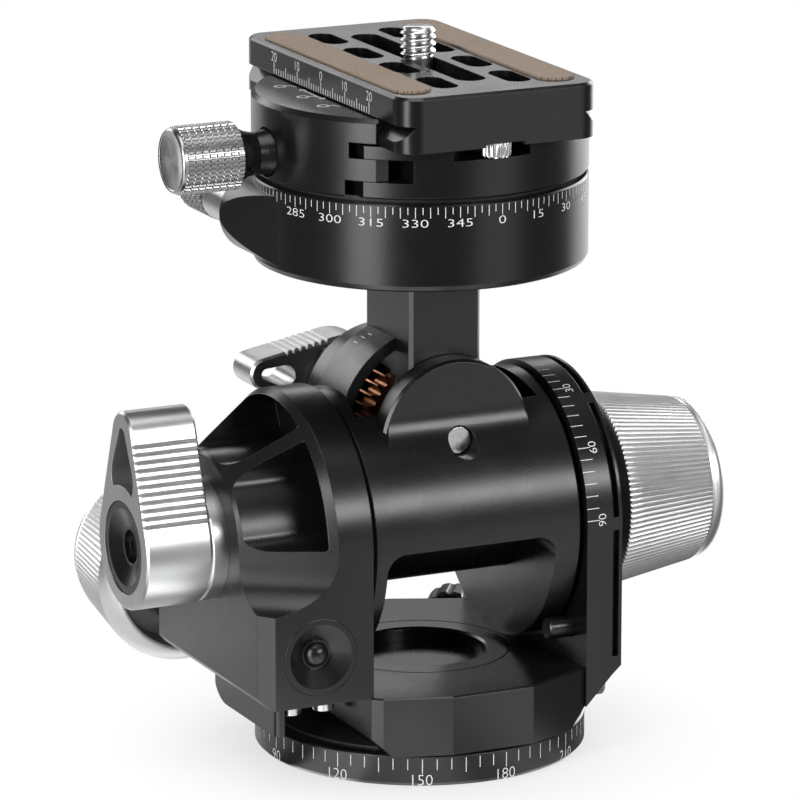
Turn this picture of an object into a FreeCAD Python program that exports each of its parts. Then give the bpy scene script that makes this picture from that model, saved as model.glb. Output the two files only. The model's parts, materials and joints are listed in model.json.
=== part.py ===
import FreeCAD, Part
import math
import os

from FreeCAD import Matrix, Placement, Vector

# Geared tripod head.  Millimetres.  +Z is up, -Y is the front, and +X points at the big right
# knob.  The origin is the centre of the tripod thread's mouth in the underside of the base.

# ---- driving dimensions ---------------------------------------------------------------------
FIT = 0.02                # radial gap of pieces fixed to each other
RUN = 0.05                # radial gap of pieces that turn or slide on each other

# axes of motion
TILT_Z = 42.6             # tilt axis, along X
ROLL_Z = 59.4             # roll axis, along Y
TILT = (0.0, TILT_Z)      # y and z of the tilt axis
ROLL = (0.0, ROLL_Z)      # x and z of the roll axis
CENTRE = (0.0, 0.0)       # x and y of both pan axes

# worm drives of the tilt and roll axes
WHEEL_TEETH = 36
WHEEL_PITCH_R = 11.8
WORM_PITCH_R = ROLL_Z - TILT_Z - WHEEL_PITCH_R
WORM_CAVITY_R = 6.2
WORM_SHAFT_R = 3.0
BACKLASH = 0.1            # taken from each flank of teeth and threads

# base
BASE_R = 30.0
BASE_TOP = 5.8
SPIGOT_R = 14.0
SPIGOT_TOP = 12.6
THREAD_R = 3.97           # tap radius of a 3/8 inch 16 tripod thread
THREAD_DEPTH = 9.0
TRIPOD_BUSH_R = 6.5

# deck of the turning frame
DECK_BOTTOM = 6.2
DECK_TOP = 17.0
DECK_FRONT = 30.4         # the bare front panel's distance from the axis
DECK_PANEL = 7.9          # half the panel's width
DECK_RIGHT = 21.1
DECK_LEFT = -21.4
DECK_RIGHT_Y = 24.6       # where the slanted facets end on the right
DECK_LEFT_Y = 26.6        # and on the left
RING_R = 16.5             # retaining ring's seat
RING_BORE = 12.0
LUG_X = -35.1             # outer face of the skirt under the tower
LUG_FRONT = -14.5
LUG_REAR = 13.4
LUG_BOTTOM = 8.45
LUG_WALL = 1.7
LUG_ROOF = 14.2           # underside of the flange that carries the tower

# left tower
TOWER_RIGHT = -21.0
TOWER_SCREWS = ((-31.0, -11.6), (-31.0, 10.2), (-24.6, 10.2), (-24.6, -11.6))
SCREW_TOP = 19.2
TOWER_SCREW_R = 1.25
TOWER_HEAD_R = 1.95
RIM_X = -27.6
HUB_X = -42.3
RIM_R = 25.3
HUB_R = 15.1
BLOCK_BOTTOM = DECK_TOP
BLOCK_FRONT = -25.2
BLOCK_REAR = 23.5
BLOCK_CHAMFER = 2.4
SCOOP_R = 8.84
POCKET_IN = 15.6
POCKET_OUT = 24.2
POCKET_FLOOR = -23.6
WORM_1_X = -31.2
WORM_1_Z = TILT_Z - WHEEL_PITCH_R - WORM_PITCH_R
WORM_1 = (WORM_1_X, WORM_1_Z)
WHEEL_1_HALF = 3.0
HOUSING_R = 9.5
WHEEL_CAVITY_R = 13.0
BEARING_R = 9.0           # barrel journals
WHEEL_SHAFT_R = 6.0

# right upright
UPRIGHT_X = 28.1
UPRIGHT_HALF = 25.2
UPRIGHT_BORE = 12.0
UPRIGHT_SCREWS = ((-20.5, 13.0), (20.5, 13.0))
UPRIGHT_SCREW_TIP = 16.9
STOP_PIN = (-19.1, 23.4)

# barrel
BARREL_R = 24.5
BARREL_HALF = 20.4
CORE_R = 11.8             # round core that spans the hollow under the barrel
HOLLOW_X = (-17.8, 15.3)
HOLLOW_TOP = 42.2
ROOM_R = 18.7             # room between the ears, about the roll axis
ROOM_BOTTOM = 50.4
EAR_R = 14.5
EAR_FACE = -15.2
EAR_SWEEP = 8.0           # radius of the curve from the front ear down to the barrel
EAR_FRONT = -11.0         # rear side of the front ear
EAR_REAR = (8.6, 18.0)
PIN_R = 2.65
PIN_HOLE_R = 2.7
PIN_FRONT = -15.8
HOUSING_2_R = 8.0

# arm and drum
ARM_HALF = 7.0
ARM_FRONT = -10.6
ARM_REAR = 8.1
WHEEL_2_HALF = 2.5
ARC_IN = 16.2
ARC_OUT = 18.3
ARC_FRONT = -4.6
ARC_REAR = 6.5
DRUM_R = 30.0
DRUM_BOTTOM = 89.8
DRUM_TOP = 105.4
DRUM_FLOOR = 93.6
PAN_TEETH = 90
PAN_PITCH_R = 23.4
PAN_WORM_PITCH_R = 2.6
PAN_WORM = (-PAN_PITCH_R - PAN_WORM_PITCH_R, 97.8)
PAN_SHAFT_R = 1.6
BOSS_R = 7.3              # boss of the pan worm on the drum
BOSS_REAR = 13.4
KNOB_3_R = 4.6
POST_R = 6.0
POST_TOP = 107.5

# clamp
CLAMP_BOTTOM = 106.3
CLAMP_FLOOR = 115.55
CLAMP_TOP = 120.25
SEAT_HALF = 19.3          # jaw walls' distance from the centre
LIP_HALF = 16.52
JAW_END = 22.9
CLAMP_AXIS_Z = 111.25
RECESS_X = (-7.4, 7.4)
RECESS_Y = 23.5
RECESS_FLOOR = 113.1

# quick release plate
PLATE_HALF = 19.0
PLATE_Y = (-33.0, 35.0)
PLATE_BOTTOM = 115.75
PLATE_TOP = 125.5
GROOVE_TOP = 120.5
GROOVE_DEPTH = 2.9
SCREW_Y = 0.9             # camera screw's place in its slot
SCREW_THREAD_R = 3.175    # 1/4 inch camera screw
STOP_Y = (-29.5, 31.5)
STOP_HEAD = (113.4, 116.4)
STRIP_X = 13.85           # rubber strips
STRIP_HALF = 3.55
STRIP_Y = (-28.6, 31.0)

# levers: hub radius, tip radius, centre distance
LEVER_1_SHAPE = (11.2, 4.5, 20.2)
LEVER_1_X = (-58.0, -45.5)
LEVER_2_SHAPE = (8.45, 3.0, 15.9)
LEVER_2_Y = (32.7, 41.2)
LEVER_2_LIFT = 9.7        # degrees above horizontal

DIRECTION = {"X": Vector(1, 0, 0), "Y": Vector(0, 1, 0), "Z": Vector(0, 0, 1)}


# ---- shape helpers --------------------------------------------------------------------------
def at(axis, along, across):
    """Point at a distance along an axis line; across holds its other two coordinates."""
    if axis == "X":
        return Vector(along, across[0], across[1])
    if axis == "Y":
        return Vector(across[0], along, across[1])
    return Vector(across[0], across[1], along)


def rod(axis, across, radius, start, end):
    return Part.makeCylinder(radius, end - start, at(axis, start, across), DIRECTION[axis])


def ring(axis, across, outer, inner, start, end):
    return rod(axis, across, outer, start, end).cut(rod(axis, across, inner, start - 1, end + 1))


def block(x, y, z):
    """Box from pairs of limits."""
    return Part.makeBox(x[1] - x[0], y[1] - y[0], z[1] - z[0], Vector(x[0], y[0], z[0]))


def turned(axis, across, profile):
    """Solid of revolution from (along, radius) points; the profile closes through the axis."""
    points = [(profile[0][0], 0.0)] + list(profile) + [(profile[-1][0], 0.0)]
    corners = [at(axis, along, (across[0] + radius, across[1])) for along, radius in points]
    unique = [corners[0]]
    for corner in corners[1:]:
        if corner.distanceToPoint(unique[-1]) > 1e-6:
            unique.append(corner)
    face = Part.Face(Part.makePolygon(unique + [unique[0]]))
    return face.revolve(at(axis, 0, across), DIRECTION[axis], 360)


def prism(axis, points, start, end):
    """Polygon of across coordinates, extruded along an axis."""
    corners = [at(axis, start, point) for point in points]
    face = Part.Face(Part.makePolygon(corners + [corners[0]]))
    return face.extrude(DIRECTION[axis] * (end - start))


def slot(x, y_low, y_high, half_width, z_low, z_high):
    """Round ended slot along Y."""
    straight = block((x - half_width, x + half_width),
                     (y_low + half_width, y_high - half_width), (z_low, z_high))
    ends = [rod("Z", (x, y), half_width, z_low, z_high)
            for y in (y_low + half_width, y_high - half_width)]
    return straight.fuse(ends).removeSplitter()


def mirrored(shape, normal):
    return shape.mirror(Vector(0, 0, 0), normal)


def tidy(shape):
    return shape.removeSplitter()


def edges_along(shape, axis, near=None):
    """Straight edges parallel to an axis; near is an optional test of the edge's middle."""
    found = []
    for edge in shape.Edges:
        if not isinstance(edge.Curve, Part.Line):
            continue
        parallel = abs(edge.Curve.Direction.dot(DIRECTION[axis])) > 0.9999
        if parallel and (near is None or near(edge.CenterOfMass)):
            found.append(edge)
    return found


# ---- gears ----------------------------------------------------------------------------------
def gear_wheel(axis, across, teeth, pitch_r, start, end, bore, first_tooth):
    """Straight toothed wheel; first_tooth is the angle of one tooth's middle, in degrees."""
    module = 2 * pitch_r / teeth
    slope = math.tan(math.radians(20))
    root_r = pitch_r - 1.25 * module
    tip_r = pitch_r + module
    half = math.pi * module / 4 - BACKLASH
    root_half = (half + 1.25 * module * slope) / root_r
    tip_half = (half - module * slope) / tip_r
    outline = []
    for tooth in range(teeth):
        middle = math.radians(first_tooth) + 2 * math.pi * tooth / teeth
        for radius, offset in ((root_r, -root_half), (tip_r, -tip_half),
                               (tip_r, tip_half), (root_r, root_half)):
            angle = middle + offset
            outline.append((across[0] + radius * math.cos(angle),
                            across[1] + radius * math.sin(angle)))
    wheel = prism(axis, outline, start, end)
    return wheel.cut(rod(axis, across, bore, start - 1, end + 1))


def worm_thread(axis, across, pitch_r, module, start, end, phase):
    """Right-handed single thread on its core; phase is the helix's first place on the axis."""
    pitch = math.pi * module
    slope = math.tan(math.radians(20))
    tip_r = pitch_r + module - BACKLASH
    root_r = pitch_r - 1.25 * module
    half = pitch / 4 - BACKLASH
    tip_half = half - (tip_r - pitch_r) * slope
    root_half = half + (pitch_r - root_r + BACKLASH) * slope
    profile = Part.makePolygon([Vector(root_r - BACKLASH, 0, -root_half), Vector(tip_r, 0, -tip_half),
                                Vector(tip_r, 0, tip_half), Vector(root_r - BACKLASH, 0, root_half),
                                Vector(root_r - BACKLASH, 0, -root_half)])
    turns = math.ceil((end - start) / pitch) + 3
    helix = Part.makeHelix(pitch, turns * pitch, pitch_r)
    thread = Part.Wire(helix).makePipeShell([profile], True, True)
    first = phase + math.floor((start - phase) / pitch - 1) * pitch
    turn = FreeCAD.Rotation(DIRECTION["Z"], DIRECTION[axis])
    thread.Placement = Placement(at(axis, first, across), turn)
    core = rod(axis, across, root_r, start, end)
    envelope = rod(axis, across, tip_r + 1, start, end)
    return core.fuse(thread.common(envelope))


# ---- base body ------------------------------------------------------------------------------
def base_disc():
    edge = 0.7
    body = turned("Z", CENTRE, [(0, BASE_R - edge), (edge, BASE_R), (BASE_TOP - 0.3, BASE_R),
                                (BASE_TOP, BASE_R - 0.3), (BASE_TOP, SPIGOT_R),
                                (SPIGOT_TOP, SPIGOT_R), (SPIGOT_TOP, RING_BORE - FIT),
                                (14.2, RING_BORE - FIT)])
    return body.cut(rod("Z", CENTRE, TRIPOD_BUSH_R + FIT, -1, THREAD_DEPTH + 0.5))


def tripod_bush():
    return ring("Z", CENTRE, TRIPOD_BUSH_R, THREAD_R, 0, THREAD_DEPTH)


def pan_washer():
    return ring("Z", CENTRE, 27.0, 17.0, BASE_TOP, DECK_BOTTOM - RUN)


def pan_retaining_ring():
    body = turned("Z", CENTRE, [(SPIGOT_TOP + RUN, RING_R - 0.1), (DECK_TOP - 0.2, RING_R - 0.1),
                                (DECK_TOP, RING_R - 0.3)])
    bore = turned("Z", CENTRE, [(SPIGOT_TOP - 1, RING_BORE), (DECK_TOP - 0.4, RING_BORE),
                                (DECK_TOP + 0.1, RING_BORE + 0.5)])
    return body.cut(bore)


# ---- turning frame --------------------------------------------------------------------------
LOCK_ANGLE = math.radians(56)
LOCK_Z = 10.6
LOCK_OUT = Vector(math.cos(LOCK_ANGLE), math.sin(LOCK_ANGLE), 0)


def lock_rod(radius, near, far):
    """Cylinder on the pan lock's radial axis, between two distances from the pan axis."""
    return Part.makeCylinder(radius, far - near, LOCK_OUT * near + Vector(0, 0, LOCK_Z), LOCK_OUT)


def tower_lug():
    """Flange under the left tower, with a thin skirt along its outer edge."""
    inside = LUG_X + LUG_WALL
    lug = prism("Y", [(LUG_X, LUG_BOTTOM), (LUG_X, DECK_TOP), (-20, DECK_TOP), (-20, LUG_ROOF),
                      (inside, LUG_ROOF), (inside, LUG_BOTTOM)], LUG_FRONT, LUG_REAR)
    upright_edges = edges_along(lug, "Z", lambda p: p.x < LUG_X + 1)
    lug = lug.makeFillet(1.2, upright_edges)
    rounding = 6.0
    corner = block((LUG_X - 1, inside), (LUG_REAR - rounding, LUG_REAR + 1),
                   (LUG_BOTTOM - 1, LUG_BOTTOM + rounding))
    corner = corner.cut(rod("X", (LUG_REAR - rounding, LUG_BOTTOM + rounding), rounding,
                            LUG_X - 2, inside + 1))
    return lug.cut(corner)


def deck_plate():
    outline = [(DECK_PANEL, -DECK_FRONT), (DECK_RIGHT, -DECK_RIGHT_Y), (DECK_RIGHT, DECK_RIGHT_Y),
               (DECK_PANEL, DECK_FRONT), (-DECK_PANEL, DECK_FRONT), (DECK_LEFT, DECK_LEFT_Y),
               (DECK_LEFT, 1.5 - DECK_LEFT_Y), (DECK_LEFT + 1.6, -DECK_LEFT_Y - 0.1),
               (-DECK_PANEL, -DECK_FRONT)]
    body = prism("Z", outline, DECK_BOTTOM, DECK_TOP)
    top_edges = [edge for edge in body.Edges
                 if abs(edge.CenterOfMass.z - DECK_TOP) < 1e-6 and edge.CenterOfMass.x > DECK_LEFT + 0.5
                 and edge.CenterOfMass.x < DECK_RIGHT - 0.5]
    body = body.makeChamfer(0.35, top_edges)
    body = body.fuse(tower_lug())
    left_bevel = prism("Y", [(DECK_LEFT - 1, DECK_BOTTOM - 1), (DECK_LEFT - 1, 10.0 + 0.4),
                             (DECK_LEFT, 9.4), (DECK_LEFT + 3.2, DECK_BOTTOM),
                             (DECK_LEFT + 3.2, DECK_BOTTOM - 1)], -40, 40)
    right_bevel = prism("Y", [(DECK_RIGHT + 1, DECK_BOTTOM - 1), (DECK_RIGHT + 1, 9.7),
                              (DECK_RIGHT, 9.7), (DECK_RIGHT - 3.5, DECK_BOTTOM),
                              (DECK_RIGHT - 3.5, DECK_BOTTOM - 1)], -40, 40)
    body = body.cut([left_bevel, right_bevel])
    bore = rod("Z", CENTRE, SPIGOT_R + RUN, DECK_BOTTOM - 1, SPIGOT_TOP + 1)
    seat = rod("Z", CENTRE, RING_R, SPIGOT_TOP, DECK_TOP + 1)
    screws = [rod("Z", place, TOWER_SCREW_R + FIT, 0, 30) for place in TOWER_SCREWS]
    sides = [rod("X", place, 1.5 + FIT, UPRIGHT_SCREW_TIP - 0.3, 30) for place in UPRIGHT_SCREWS]
    return tidy(body.cut([bore, seat, lock_rod(1.6, 12, 40)] + screws + sides))


def scoop_cutter():
    """Hollow between the tower's slanted front wall and the top of its lower block."""
    start = Vector(RIM_X, -RIM_R, 0)
    run = Vector(HUB_X - RIM_X, RIM_R - HUB_R, 0).normalize()
    out = Vector(run.y, -run.x, 0)
    if out.y > 0:
        out = out * -1

    def point(n, z):
        return start - run * 8 + out * n + Vector(0, 0, z)

    top = TILT_Z + 3
    low = TILT_Z - SCOOP_R
    bend = SCOOP_R * math.sqrt(0.5)
    arc = Part.Arc(point(0, TILT_Z), point(SCOOP_R - bend, TILT_Z - bend), point(SCOOP_R, low))
    corners = [point(SCOOP_R, low), point(30, low), point(30, top), point(0, top), point(0, TILT_Z)]
    lines = [Part.LineSegment(a, b).toShape() for a, b in zip(corners, corners[1:])]
    face = Part.Face(Part.Wire([arc.toShape()] + lines))
    return face.extrude(run * 40)


def arc_pocket(angle_low, angle_high, corner):
    """Axial pocket between hub and rim; angles run from the top towards the front."""
    def point(radius, angle):
        turn = math.radians(angle)
        return at("X", HUB_X - 1, (-radius * math.sin(turn), TILT_Z + radius * math.cos(turn)))

    middle = (angle_low + angle_high) / 2
    inner = Part.Arc(point(POCKET_IN, angle_low), point(POCKET_IN, middle),
                     point(POCKET_IN, angle_high))
    outer = Part.Arc(point(POCKET_OUT, angle_high), point(POCKET_OUT, middle),
                     point(POCKET_OUT, angle_low))
    sides = [Part.LineSegment(point(POCKET_IN, angle_high), point(POCKET_OUT, angle_high)),
             Part.LineSegment(point(POCKET_OUT, angle_low), point(POCKET_IN, angle_low))]
    face = Part.Face(Part.Wire([inner.toShape(), sides[0].toShape(),
                                outer.toShape(), sides[1].toShape()]))
    pocket = face.extrude(Vector(POCKET_FLOOR - HUB_X + 1, 0, 0))
    half_way = (POCKET_IN + POCKET_OUT) / 2
    near_hub = edges_along(pocket, "X", lambda p: math.hypot(p.y, p.z - TILT_Z) < half_way)
    pocket = pocket.makeFillet(corner, near_hub)
    near_rim = edges_along(pocket, "X", lambda p: math.hypot(p.y, p.z - TILT_Z) > half_way + 3)
    return pocket.makeFillet(0.5, near_rim)


def left_tower():
    upper = turned("X", TILT, [(HUB_X, HUB_R), (RIM_X, RIM_R), (TOWER_RIGHT, RIM_R)])
    upper = upper.common(block((-60, 0), (-40, 40), (TILT_Z, TILT_Z + 40)))
    front = BLOCK_FRONT
    rear = BLOCK_REAR
    outline = [(TOWER_RIGHT, front), (HUB_X + BLOCK_CHAMFER, front), (HUB_X, front + BLOCK_CHAMFER),
               (HUB_X, rear - BLOCK_CHAMFER), (HUB_X + BLOCK_CHAMFER, rear), (RIM_X, rear),
               (RIM_X, RIM_R), (TOWER_RIGHT, RIM_R)]
    lower = prism("Z", outline, BLOCK_BOTTOM, TILT_Z)
    lower = lower.cut([scoop_cutter(), mirrored(scoop_cutter(), DIRECTION["Y"])])
    underside = prism("Y", [(HUB_X - 1, BLOCK_BOTTOM - 1), (HUB_X - 1, BLOCK_BOTTOM + 2.9),
                            (HUB_X + 2.9, BLOCK_BOTTOM - 1)], -40, 40)
    body = upper.fuse(lower).cut(underside)
    pockets = [arc_pocket(-28.3, 28.3, 3.5), arc_pocket(35.8, 85.5, 3.2),
               arc_pocket(-85.5, -35.8, 3.2)]
    wheel_room = rod("X", TILT, WHEEL_CAVITY_R, HUB_X + 5.9, 0)
    stem_bore = rod("X", TILT, 5.0 + RUN, HUB_X - 1, 0)
    worm_bore = rod("Y", WORM_1, WORM_CAVITY_R, -40, 40)
    cap_seat = rod("Y", WORM_1, 7.0 + FIT, -40, -20.5)
    housing_seat = rod("Y", WORM_1, HOUSING_R + FIT, BLOCK_REAR, 40)
    screws = [rod("Z", place, TOWER_SCREW_R + FIT, 0, SCREW_TOP) for place in TOWER_SCREWS]
    return tidy(body.cut(pockets + [wheel_room, stem_bore, worm_bore, cap_seat, housing_seat] + screws))


def right_upright():
    low = 9.7
    step = 14.9
    arch = rod("X", TILT, RIM_R, DECK_RIGHT, UPRIGHT_X)
    legs = block((DECK_RIGHT, UPRIGHT_X), (-UPRIGHT_HALF, UPRIGHT_HALF), (low, TILT_Z))
    body = arch.fuse(legs)
    bevel = prism("Y", [(DECK_RIGHT, low), (26.1, step), (UPRIGHT_X, step + 1.8), (40, step + 1.8),
                        (40, 0), (DECK_RIGHT, 0)], -40, 40)
    body = body.cut(bevel)
    groove_low = 26.3
    groove_high = 27.5
    inner = rod("X", TILT, RIM_R - 1.6, groove_low, groove_high)
    inner = inner.fuse(block((groove_low, groove_high), (2 - UPRIGHT_HALF, UPRIGHT_HALF - 2),
                             (0, TILT_Z)))
    outer = rod("X", TILT, RIM_R + 5, groove_low, groove_high)
    outer = outer.fuse(block((groove_low, groove_high), (-32, 32), (18.5, TILT_Z)))
    groove = outer.cut(inner)
    bridges = [block((groove_low - 1, groove_high + 1), (-40, 40), (42.0, 44.4))]
    for side in (-1, 1):
        bridge = block((groove_low - 1, groove_high + 1), (-1.2, 1.2), (20, 40))
        bridge.rotate(Vector(0, 0, 0), DIRECTION["X"], 33 * side)
        bridge.translate(Vector(0, 0, TILT_Z))
        bridges.append(bridge)
    groove = groove.cut(bridges)
    bore = rod("X", TILT, UPRIGHT_BORE, 0, 40)
    stop_hole = rod("X", STOP_PIN, 2.0 + FIT, 0, 24)
    screws = [rod("X", place, 1.5 + FIT, 0, 40) for place in UPRIGHT_SCREWS]
    heads = [rod("X", place, 2.8, 23.6, 40) for place in UPRIGHT_SCREWS]
    return tidy(body.cut([groove, bore, stop_hole] + screws + heads))


def stop_pin():
    """Headless limit pin that stands out of the upright's inner face."""
    return turned("X", STOP_PIN, [(16.0, 1.7), (16.3, 2.0), (24.0, 2.0)])


def cap_screw(axis, across, shank_r, head_r, head_start, head_end, tip):
    """Socket head screw on an axis; the head lies between head_start and head_end."""
    head = rod(axis, across, head_r, min(head_start, head_end), max(head_start, head_end))
    shank = rod(axis, across, shank_r, min(head_end, tip), max(head_end, tip))
    depth = (head_end - head_start) * 0.6
    socket = [at(axis, head_start, (across[0] + 0.55 * head_r * math.cos(math.radians(60 * i)),
                                    across[1] + 0.55 * head_r * math.sin(math.radians(60 * i))))
              for i in range(6)]
    hexagon = Part.Face(Part.makePolygon(socket + [socket[0]])).extrude(DIRECTION[axis] * depth)
    return head.fuse(shank).cut(hexagon)


def tower_screws():
    return [cap_screw("Z", place, TOWER_SCREW_R, TOWER_HEAD_R, LUG_ROOF - 2.4, LUG_ROOF, SCREW_TOP - 0.2)
            for place in TOWER_SCREWS]


def upright_screws():
    return [cap_screw("X", place, 1.5, 2.7, 26.0, 23.6, UPRIGHT_SCREW_TIP)
            for place in UPRIGHT_SCREWS]


def tilt_bush_left():
    return ring("X", TILT, WHEEL_CAVITY_R - FIT, BEARING_R + RUN, -26.8, TOWER_RIGHT - 0.1)


def tilt_bush_right():
    return ring("X", TILT, UPRIGHT_BORE - FIT, BEARING_R + RUN, DECK_RIGHT + 0.1, UPRIGHT_X - 0.1)


def worm_1_bushes():
    return [ring("Y", WORM_1, WORM_CAVITY_R - FIT, WORM_SHAFT_R + RUN, low, high)
            for low, high in ((-18.5, -11.5), (14.0, 22.0))]


def worm_1_cap():
    """Threaded plug with a dished face and a domed middle."""
    face = BLOCK_FRONT
    body = turned("Y", WORM_1, [(face, 6.9), (face + 0.1, 7.0), (-20.6, 7.0)])
    dish = turned("Y", WORM_1, [(face - 1, 5.9), (face, 5.9), (face + 2.2, 2.6)])
    dome = Part.makeSphere(2.5, at("Y", face + 3.0, WORM_1))
    dome = dome.common(rod("Y", WORM_1, 2.5, face, face + 3.0))
    return body.cut(dish).fuse(dome)


def worm_1_housing():
    """Bearing housing on the tower's rear face, which the knob's skirt covers."""
    body = turned("Y", WORM_1, [(BLOCK_REAR, HOUSING_R), (37.5, HOUSING_R), (38.0, HOUSING_R - 0.5)])
    return body.cut(rod("Y", WORM_1, WORM_SHAFT_R + RUN, 0, 60))


def lever_1_collar():
    body = turned("X", TILT, [(LEVER_1_X[1] + RUN, 10.7), (LEVER_1_X[1] + 0.4, 11.0),
                              (HUB_X, 11.0)])
    return body.cut(rod("X", TILT, 5.0 + RUN, -60, 0))


# ---- pan lock -------------------------------------------------------------------------------
def pan_lock_knob():
    knob = lock_rod(5.6, 38.0, 45.0)
    knob = knob.makeChamfer(0.6, [edge for edge in knob.Edges if isinstance(edge.Curve, Part.Circle)])
    flutes = []
    side = Vector(-LOCK_OUT.y, LOCK_OUT.x, 0)
    for step in range(12):
        turn = 2 * math.pi * step / 12
        offset = side * (6.0 * math.cos(turn)) + Vector(0, 0, 6.0 * math.sin(turn))
        flute = lock_rod(0.8, 36, 46)
        flute.translate(offset)
        flutes.append(flute)
    neck = lock_rod(3.2, 34.7, 38.0)
    return tidy(knob.cut(flutes).fuse(neck).cut(lock_rod(1.5 + FIT, 30, 43.0)))


def pan_lock_screw():
    """Clamp screw whose tip bears on the base spigot."""
    return lock_rod(1.5, SPIGOT_R + RUN, 42.8)


# ---- tilting barrel -------------------------------------------------------------------------
def front_ear():
    """Ear whose face sweeps down in a hollow curve until it meets the barrel."""
    sweep = (EAR_FACE - EAR_SWEEP,
             TILT_Z + math.sqrt((BARREL_R + EAR_SWEEP) ** 2 - (EAR_FACE - EAR_SWEEP) ** 2))
    away = math.atan2(TILT_Z - sweep[1], -sweep[0])

    def on_sweep(angle):
        return Vector(-40, sweep[0] + EAR_SWEEP * math.cos(angle), sweep[1] + EAR_SWEEP * math.sin(angle))

    arc = Part.Arc(on_sweep(0), on_sweep(away / 2), on_sweep(away))
    corners = [on_sweep(away), Vector(-40, EAR_FRONT, TILT_Z + 2), Vector(-40, EAR_FRONT, 90),
               Vector(-40, EAR_FACE, 90), on_sweep(0)]
    lines = [Part.LineSegment(a, b).toShape() for a, b in zip(corners, corners[1:])]
    outline = Part.Face(Part.Wire([arc.toShape()] + lines)).extrude(Vector(80, 0, 0))
    disc = turned("Y", ROLL, [(EAR_FACE - 10, EAR_R - 0.5), (EAR_FACE, EAR_R - 0.5),
                              (EAR_FACE + 0.5, EAR_R), (EAR_FRONT, EAR_R)])
    return disc.common(outline)


def barrel_hollow():
    """Space cut through the barrel from front to back, under and around its core."""
    hollow = block(HOLLOW_X, (-40, 40), (0, HOLLOW_TOP))
    hollow = hollow.makeFillet(3.5, edges_along(hollow, "Y", lambda p: p.z > HOLLOW_TOP - 1))
    return hollow.cut(rod("X", TILT, CORE_R, -40, 40))


def barrel():
    body = rod("X", TILT, BARREL_R, -BARREL_HALF, BARREL_HALF)
    body = body.makeChamfer(0.5, [edge for edge in body.Edges if isinstance(edge.Curve, Part.Circle)])
    journals = [rod("X", TILT, BEARING_R, -27.2, -BARREL_HALF),
                rod("X", TILT, WHEEL_SHAFT_R, -35.9, -27.2),
                rod("X", TILT, BEARING_R, BARREL_HALF, 32.9)]
    body = body.cut(barrel_hollow())
    body = body.fuse([front_ear(), rod("Y", ROLL, EAR_R, EAR_REAR[0], EAR_REAR[1])] + journals)
    room = rod("Y", ROLL, ROOM_R, EAR_FRONT, EAR_REAR[0])
    room = room.common(block((-30, 30), (-30, 30), (ROOM_BOTTOM, 100)))
    cutters = [room,
               rod("X", TILT, WORM_CAVITY_R, -17.0, 40),
               rod("Y", ROLL, WHEEL_PITCH_R + 1.1, -WHEEL_2_HALF - 0.4, WHEEL_2_HALF + 0.4),
               rod("Y", ROLL, 11.0, EAR_FRONT, EAR_REAR[0]),
               rod("Y", ROLL, PIN_HOLE_R, -40, 40),
               rod("Y", ROLL, HOUSING_2_R + FIT, EAR_REAR[1], 40)]
    for cutter in cutters:
        body = body.cut(cutter)
    return tidy(body)


def worm_wheel_1():
    return gear_wheel("X", TILT, WHEEL_TEETH, WHEEL_PITCH_R, WORM_1_X - WHEEL_1_HALF,
                      WORM_1_X + WHEEL_1_HALF, WHEEL_SHAFT_R + FIT, -90)


def wheel_1_nut():
    outline = [(9.0 * math.cos(math.radians(60 * i)), TILT_Z + 9.0 * math.sin(math.radians(60 * i)))
               for i in range(6)]
    nut = prism("X", outline, -35.8, WORM_1_X - WHEEL_1_HALF - FIT)
    return nut.cut(rod("X", TILT, WHEEL_SHAFT_R + FIT, -60, 0))


def tilt_nut():
    """Round nut on the right journal; it is the dark neck beside the big knob."""
    body = turned("X", TILT, [(UPRIGHT_X + 0.1, 13.0), (32.4, 13.0), (32.9, 12.5)])
    return body.cut(rod("X", TILT, BEARING_R + FIT, 0, 60))


def worm_2_bushes():
    return [ring("X", TILT, WORM_CAVITY_R - FIT, WORM_SHAFT_R + RUN, low, high)
            for low, high in ((-16.9, -12.0), (12.5, 20.0), (26.0, 32.8))]


def pivot_pin():
    return turned("Y", ROLL, [(PIN_FRONT, PIN_R - 0.3), (PIN_FRONT + 0.3, PIN_R), (17.3, PIN_R)])


def lever_2_housing():
    """Bearing sleeve of the rear lever, on the rear ear."""
    body = turned("Y", ROLL, [(EAR_REAR[1], HOUSING_2_R), (31.9, HOUSING_2_R),
                              (LEVER_2_Y[0] - RUN, 7.4)])
    return body.cut(rod("Y", ROLL, 3.5 + RUN, 0, 60))


# ---- worm shafts and knobs ------------------------------------------------------------------
def worm_1():
    module = 2 * WHEEL_PITCH_R / WHEEL_TEETH
    phase = -math.pi * module / 4
    thread = worm_thread("Y", WORM_1, WORM_PITCH_R, module, -8.5, 8.5, phase)
    shaft = rod("Y", WORM_1, WORM_SHAFT_R, -20.0, 51.0)
    return thread.fuse(shaft)


def worm_2():
    module = 2 * WHEEL_PITCH_R / WHEEL_TEETH
    thread = worm_thread("X", TILT, WORM_PITCH_R, module, -9.0, 9.0, 0.0)
    shaft = rod("X", TILT, WORM_SHAFT_R, -16.8, 50.0)
    return thread.fuse(shaft)


def worm_3():
    module = 2 * PAN_PITCH_R / PAN_TEETH
    phase = math.pi * module / 2
    thread = worm_thread("Y", PAN_WORM, PAN_WORM_PITCH_R, module, -4.6, 4.6, phase)
    shaft = rod("Y", PAN_WORM, PAN_SHAFT_R, -7.8, 36.0)
    return thread.fuse(shaft)


def knob_1():
    front = 32.5
    body = turned("Y", WORM_1, [(front, 14.2), (front + 0.6, 15.3), (front + 2.6, 16.6),
                                (front + 3.2, 17.0), (52.5, 14.7), (53.0, 14.1), (54.1, 13.8),
                                (54.5, 13.4)])
    recess = rod("Y", WORM_1, 13.4, front - 1, 39.5)
    shaft = rod("Y", WORM_1, WORM_SHAFT_R + FIT, 30, 51.2)
    seat = rod("Y", WORM_1, 8.0 + FIT, 53.0, 60)
    return body.cut([recess, shaft, seat])


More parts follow.
